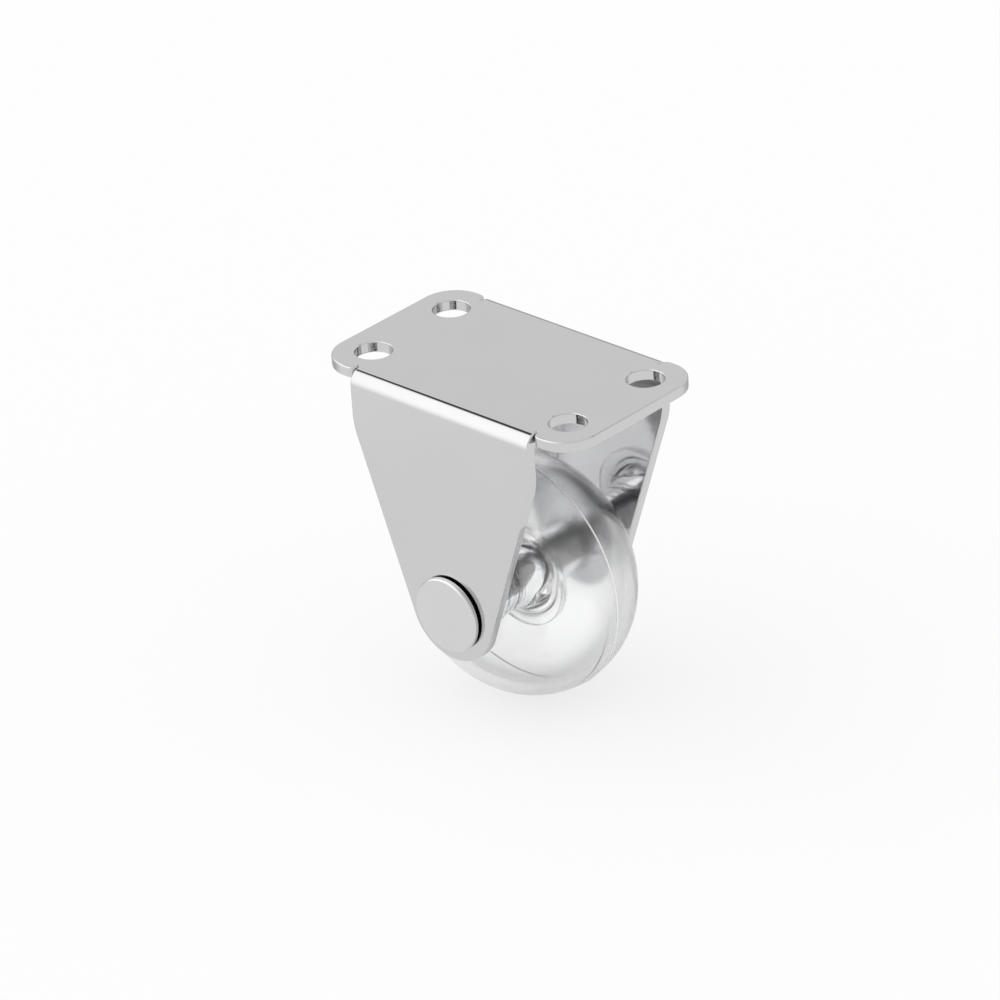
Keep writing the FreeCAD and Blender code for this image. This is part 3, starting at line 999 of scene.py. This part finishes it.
@dataclass
class Wheel:
    """The clear hollow barrel that turns on the axle. Sizes are in millimetres."""

    axle_drop: float = 32.5
    radius: float = 17.8
    half_width: float = 12.425
    bore_radius: float = 2.55
    crown_radius: float = 11.6
    crown_half: float = 7.0
    flank_radius: float = 14.7
    tread_wall: float = 1.6
    side_wall: float = 1.6
    tube_radius: float = 4.0
    flare_radius: float = 3.4
    collar_ledge: float = 0.6
    collar_half: float = 0.6
    edge_rounding: float = 0.15
    hollow_rounding: float = 0.2
    sharp: float = 40.0
    smooth_under: float = 35.0
    facets: int = 192
    flank_steps: int = 24
    crown_steps: int = 40
    flare_steps: int = 16
    finish: ClearPlastic = ClearPlastic(
        name="clear_wheel_plastic",
        tint=(0.985, 0.987, 0.99),
        # Painted shade where the wall is seen edge on.
        edge_shade_tint=(0.63, 0.635, 0.64),
        edge_from=0.32,
        edge_to=0.56,
        roughness=0.01,
        spread=0.03,
        tread_roughness=0.12,
        refraction=1.49,
        haze_scale=260.0,
        axle_drop=32.5 * MM,
        tread_from=13.6 * MM,
    )

    def build(self) -> bpy.types.Object:
        """Turns the wheel's outside and its hollow, and dresses them as one piece.

        Returns:
            The finished piece.
        """
        work = self._outside()
        work.join(self._hollow())
        work.smooth(self.smooth_under)
        return work.finish(self.finish.material())

    def _profile(self, lathe: Lathe, depth: float, side: float) -> None:
        """Draws the crowned profile at a depth under the outside, from the near side to the far one.

        Args:
            lathe: The lathe, standing on the near side.
            depth: How deep the profile lies.
            side: Y of the far side.
        """
        lean = math.asin(self.crown_half / self.crown_radius)
        crown_centre = (0.0, self.radius - self.crown_radius)
        gap = self.crown_radius - self.flank_radius
        flank_centre = (gap * math.sin(lean), crown_centre[1] + gap * math.cos(lean))
        crown = self.crown_radius - depth
        join = (crown * math.sin(lean), crown_centre[1] + crown * math.cos(lean))
        flank = self.flank_radius - depth
        side_r = flank_centre[1] + math.sqrt(flank**2 - (side - flank_centre[0]) ** 2)
        lathe.line((-side, side_r))
        lathe.arc((-flank_centre[0], flank_centre[1]), (-join[0], join[1]), self.flank_steps)
        lathe.arc(crown_centre, (0.0, self.radius - depth), self.crown_steps)
        lathe.arc(crown_centre, join, self.crown_steps)
        lathe.arc(flank_centre, (side, side_r), self.flank_steps)

    def _outside(self) -> Workpiece:
        """Turns the bore, the sides and the tread.

        Returns:
            The outside.
        """
        half, bore = self.half_width, self.bore_radius
        lathe = Lathe("clear_wheel", self.axle_drop, (-half, bore))
        self._profile(lathe, 0.0, half)
        lathe.line((half, bore), (-half, bore))
        work = lathe.turn(self.facets)
        work.break_edges(self.edge_rounding, self.sharp)
        return work

    def _hollow(self) -> Workpiece:
        """Turns the hollow round the hub tube, with its wall looking inwards.

        Returns:
            The hollow.
        """
        side = self.half_width - self.side_wall
        tube, collar = self.tube_radius, self.collar_half
        root, foot = tube + self.flare_radius, collar + self.flare_radius
        rim = root + self.collar_ledge
        lathe = Lathe("wheel_hollow", self.axle_drop, (-side, tube))
        self._profile(lathe, self.tread_wall, side)
        lathe.line((side, tube), (foot, tube))
        lathe.arc((foot, root), (collar, root), self.flare_steps)
        lathe.line((collar, rim), (-collar, rim), (-collar, root))
        lathe.arc((-foot, root), (-foot, tube), self.flare_steps)
        lathe.line((-side, tube))
        work = lathe.turn(self.facets)
        bpy.ops.mesh.select_all(action="SELECT")
        bpy.ops.mesh.flip_normals()
        work.break_edges(self.hollow_rounding, self.sharp)
        return work


@dataclass
class WeldBead:
    """The bead where the wheel's two halves are welded, white as a painted highlight along the seam."""

    axle_drop: float = 32.5
    top_radius: float = 17.9
    root_radius: float = 17.74
    half_width: float = 0.13
    half_top: float = 0.06
    shoulder: float = 0.06
    smooth_under: float = 60.0
    facets: int = 192
    # Painted highlight: the bead is white so that the seam shows as a light line.
    finish: BeadPlastic = BeadPlastic(
        name="weld_painted_highlight",
        tint=(0.93, 0.93, 0.93),
        paler=(0.97, 0.97, 0.97),
        roughness=0.5,
        grain=900.0,
    )

    def build(self) -> bpy.types.Object:
        """Turns the bead and dresses it.

        Returns:
            The finished piece.
        """
        half, top = self.half_width, self.half_top
        edge = self.top_radius - self.shoulder
        lathe = Lathe("weld_bead", self.axle_drop, (-half, self.root_radius))
        lathe.line((-half, edge), (-top, self.top_radius), (top, self.top_radius))
        lathe.line((half, edge), (half, self.root_radius), (-half, self.root_radius))
        work = lathe.turn(self.facets)
        work.smooth(self.smooth_under)
        return work.finish(self.finish.material())


# Camera and studio


@dataclass
class View:
    """The photograph's viewpoint. Angles in degrees, lengths in millimetres."""

    azimuth: float = 44.0122648
    elevation: float = 28.3017154
    roll: float = -3.6489561
    across: float = 1.16851159
    up: float = 18.599019
    distance: float = 870.05
    pixels_per_mm: float = 7.29728842
    frame_pixels: int = 1000
    sensor: float = 36.0
    nearest: float = 10.0
    farthest: float = 20000.0

    def build(self) -> None:
        """Places the camera and makes it the scene's."""
        az, el, roll = (math.radians(v) for v in (self.azimuth, self.elevation, self.roll))
        back = Vector((math.sin(az) * math.cos(el), -math.cos(az) * math.cos(el), math.sin(el)))
        right = (-back).cross(Vector((0, 0, 1))).normalized()
        above = right.cross(-back)
        across = math.cos(roll) * right + math.sin(roll) * above
        upward = -math.sin(roll) * right + math.cos(roll) * above
        place = self.distance * back - self.across * across - self.up * upward
        data = bpy.data.cameras.new("camera")
        data.sensor_width = self.sensor
        data.sensor_fit = "HORIZONTAL"
        data.lens = self.pixels_per_mm * self.distance * self.sensor / self.frame_pixels
        data.clip_start = self.nearest * MM
        data.clip_end = self.farthest * MM
        camera = bpy.data.objects.new("camera", data)
        bpy.context.scene.collection.objects.link(camera)
        turn = Matrix((across, upward, back)).transposed().to_4x4()
        camera.matrix_world = Matrix.Translation(place * MM) @ turn
        bpy.context.scene.camera = camera


@dataclass
class Studio:
    """White floor in a white light tent.

    Angles are in degrees, an azimuth counts from +X towards +Y, floor_z is in millimetres, and the
    floor's size and spans are in metres.
    """

    floor_z: float = -50.4
    floor_size: float = 6.0
    floor_cells: int = 8
    floor_tint: Color = (0.92, 0.92, 0.92)
    floor_share: float = 0.75
    floor_gain: float = 0.5
    lit_floor: Point = (0.09, 0.35)
    shaded_floor: Point = (0.02, 0.07)
    plain_level: float = 0.9
    lamp_level: float = 1.6
    lamp_azimuth: float = 224.0
    lamp_elevation: float = 30.0
    lamp_core: float = 8.0
    lamp_reach: float = 62.0
    seam_elevation: float = 51.5
    seam_azimuth: float = 122.0
    seam_core: float = 1.8
    seam_edge: float = 3.6
    seam_span: float = 66.0
    seam_fade: float = 12.0
    seam_level: float = 0.05
    shade_azimuth: float = 134.0
    shade_height: float = 15.0
    shade_span: float = 60.0
    shade_level: float = 0.45
    bounces: int = 24
    transmission_bounces: int = 20
    glossy_bounces: int = 12

    def build(self) -> None:
        """Sets up the light tent and the floor, and how far light is followed."""
        scene = bpy.context.scene
        scene.view_settings.view_transform = "Standard"
        scene.cycles.max_bounces = self.bounces
        scene.cycles.transmission_bounces = self.transmission_bounces
        scene.cycles.glossy_bounces = self.glossy_bounces
        self._surround()
        self._floor()

    def _surround(self) -> None:
        """Paints the light tent: white where it is seen, and brighter on the side of its big soft lamp."""
        world = bpy.data.worlds.new("light_tent")
        bpy.context.scene.world = world
        world.use_nodes = True
        wiring = Wiring(world.node_tree)
        toward = wiring.add("TexCoord").outputs["Generated"]
        level = wiring.math("MULTIPLY", self._glow(wiring, toward), self._seam(wiring, toward))
        level = wiring.math("MULTIPLY", level, self._shade(wiring, toward))
        seen = wiring.add("LightPath").outputs["Is Camera Ray"]
        strength = wiring.add("Mix", data_type="FLOAT", Factor=seen, A=level, B=1.0)
        background = wiring.add("Background", Color=(1, 1, 1, 1), Strength=strength.outputs[0])
        wiring.add("OutputWorld", Surface=background.outputs[0])

    @staticmethod
    def _direction(azimuth: float, elevation: float = 0.0) -> Vector:
        """A direction from its angles in degrees."""
        az, el = math.radians(azimuth), math.radians(elevation)
        return Vector((math.cos(az) * math.cos(el), math.sin(az) * math.cos(el), math.sin(el)))

    @staticmethod
    def _cosines(*angles: float) -> list[float]:
        """The cosines of angles in degrees."""
        return [math.cos(math.radians(angle)) for angle in angles]

    def _glow(self, wiring: Wiring, toward: Socket) -> Socket:
        """The tent's level by direction: its plain level, and more towards the soft lamp.

        Args:
            wiring: The world's tree.
            toward: The direction.

        Returns:
            The level.
        """
        near = wiring.vector("DOT_PRODUCT", toward, self._direction(self.lamp_azimuth, self.lamp_elevation))
        reach, core = self._cosines(self.lamp_reach, self.lamp_core)
        return wiring.ramp(near, reach, core, self.plain_level, self.lamp_level, eased=True)

    def _seam(self, wiring: Wiring, toward: Socket) -> Socket:
        """The dark seam between the tent's back and its roof, as a factor.

        Args:
            wiring: The world's tree.
            toward: The direction.

        Returns:
            The factor.
        """
        height = wiring.math("ARCSINE", wiring.add("SeparateXYZ", Vector=toward).outputs["Z"])
        off = wiring.math("ABSOLUTE", wiring.math("SUBTRACT", height, math.radians(self.seam_elevation)))
        level = wiring.vector("NORMALIZE", wiring.vector("MULTIPLY", toward, (1, 1, 0)))
        facing = wiring.vector("DOT_PRODUCT", level, self._direction(self.seam_azimuth))
        core, edge = math.radians(self.seam_core), math.radians(self.seam_edge)
        end, full = self._cosines(self.seam_span, self.seam_span - self.seam_fade)
        depth = wiring.ramp(off, core, edge, 1.0 - self.seam_level, 0.0, eased=True)
        length = wiring.ramp(facing, end, full, 0.0, 1.0, eased=True)
        return wiring.math("SUBTRACT", 1.0, wiring.math("MULTIPLY", depth, length))

    def _shade(self, wiring: Wiring, toward: Socket) -> Socket:
        """The tent's shaded foot behind the castor, as a factor.

        Args:
            wiring: The world's tree.
            toward: The direction.

        Returns:
            The factor.
        """
        height = wiring.add("SeparateXYZ", Vector=toward).outputs["Z"]
        facing = wiring.vector("DOT_PRODUCT", toward, self._direction(self.shade_azimuth))
        high, low = (math.sin(math.radians(v)) for v in (self.shade_height, self.shade_height / 3))
        side, middle = self._cosines(self.shade_span, self.shade_span / 2)
        foot = wiring.ramp(height, low, high, 1.0 - self.shade_level, 0.0, eased=True)
        width = wiring.ramp(facing, side, middle, 0.0, 1.0, eased=True)
        return wiring.math("SUBTRACT", 1.0, wiring.math("MULTIPLY", foot, width))

    def _floor_glow(self, shader: Shader, mirrored: Socket) -> Socket:
        """How bright the floor is: white where it is seen; where it is mirrored, painted light towards the
        lamp and painted shade behind the castor.

        Args:
            shader: The floor's material.
            mirrored: 1 on rays that come off a mirroring surface.

        Returns:
            The glow's strength.
        """
        place = shader.place()
        # Painted light towards the lamp and painted shade behind the castor, seen only in mirrors.
        changes = [
            shader.ramp(shader.vector("DOT_PRODUCT", place, self._direction(azimuth)), *span, 0.0, change)
            for azimuth, span, change in (
                (self.lamp_azimuth, self.lit_floor, self.floor_gain),
                (self.shade_azimuth, self.shaded_floor, self.shade_level - 1.0),
            )
        ]
        return shader.math("MULTIPLY_ADD", mirrored, shader.math("ADD", *changes), 1.0)

    def _floor(self) -> None:
        """Lays the floor, which glows but keeps the castor's shadow."""
        deselect_everything()
        cells = self.floor_cells
        bpy.ops.mesh.primitive_grid_add(
            x_subdivisions=cells, y_subdivisions=cells, size=self.floor_size, location=(0, 0, 0)
        )
        floor = bpy.context.object
        floor.name = "floor"
        floor.data.transform(Matrix.Translation((0, 0, self.floor_z * MM)))
        shader = Shader("white_floor")
        rays = shader.add("LightPath").outputs
        mirrored = rays["Is Glossy Ray"]
        seen = shader.math("MAXIMUM", rays["Is Camera Ray"], mirrored)
        seen = shader.math("MAXIMUM", seen, rays["Is Transmission Ray"])
        share = shader.math("MULTIPLY", seen, self.floor_share)
        diffuse = shader.add("BsdfDiffuse", Color=(*self.floor_tint, 1))
        glow = shader.add("Emission", Color=(1, 1, 1, 1), Strength=self._floor_glow(shader, mirrored))
        mix = shader.add("MixShader")
        for target, source in zip(mix.inputs, (share, diffuse.outputs[0], glow.outputs[0])):
            shader.feed(target, source)
        dress(floor, shader.surface(mix))


def report(piece: bpy.types.Object) -> None:
    """Logs a finished piece's size in triangles and millimetres.

    Args:
        piece: The piece.
    """
    piece.data.calc_loop_triangles()
    size = ", ".join(f"{length / MM:.2f}" for length in piece.dimensions)
    LOG.info("%s: %d triangles, %s mm", piece.name, len(piece.data.loop_triangles), size)


def main() -> None:
    """Builds the camera, the studio and each sub-assembly, attaches each piece to its body and hides the
    CAD node it replaces.
    """
    logging.basicConfig(level=logging.INFO, format="%(name)s: %(message)s")
    View().build()
    Studio().build()
    for sub_assembly, body, node in (
        (Bracket(), "frame", "bracket"),
        (Rivet(), "frame", "axle"),
        (Wheel(), "roller", "wheel"),
        (WeldBead(), "roller", "wheel"),
    ):
        piece = sub_assembly.build()
        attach(piece, body)
        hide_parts(node)
        report(piece)


if __name__ == "__main__":
    main()
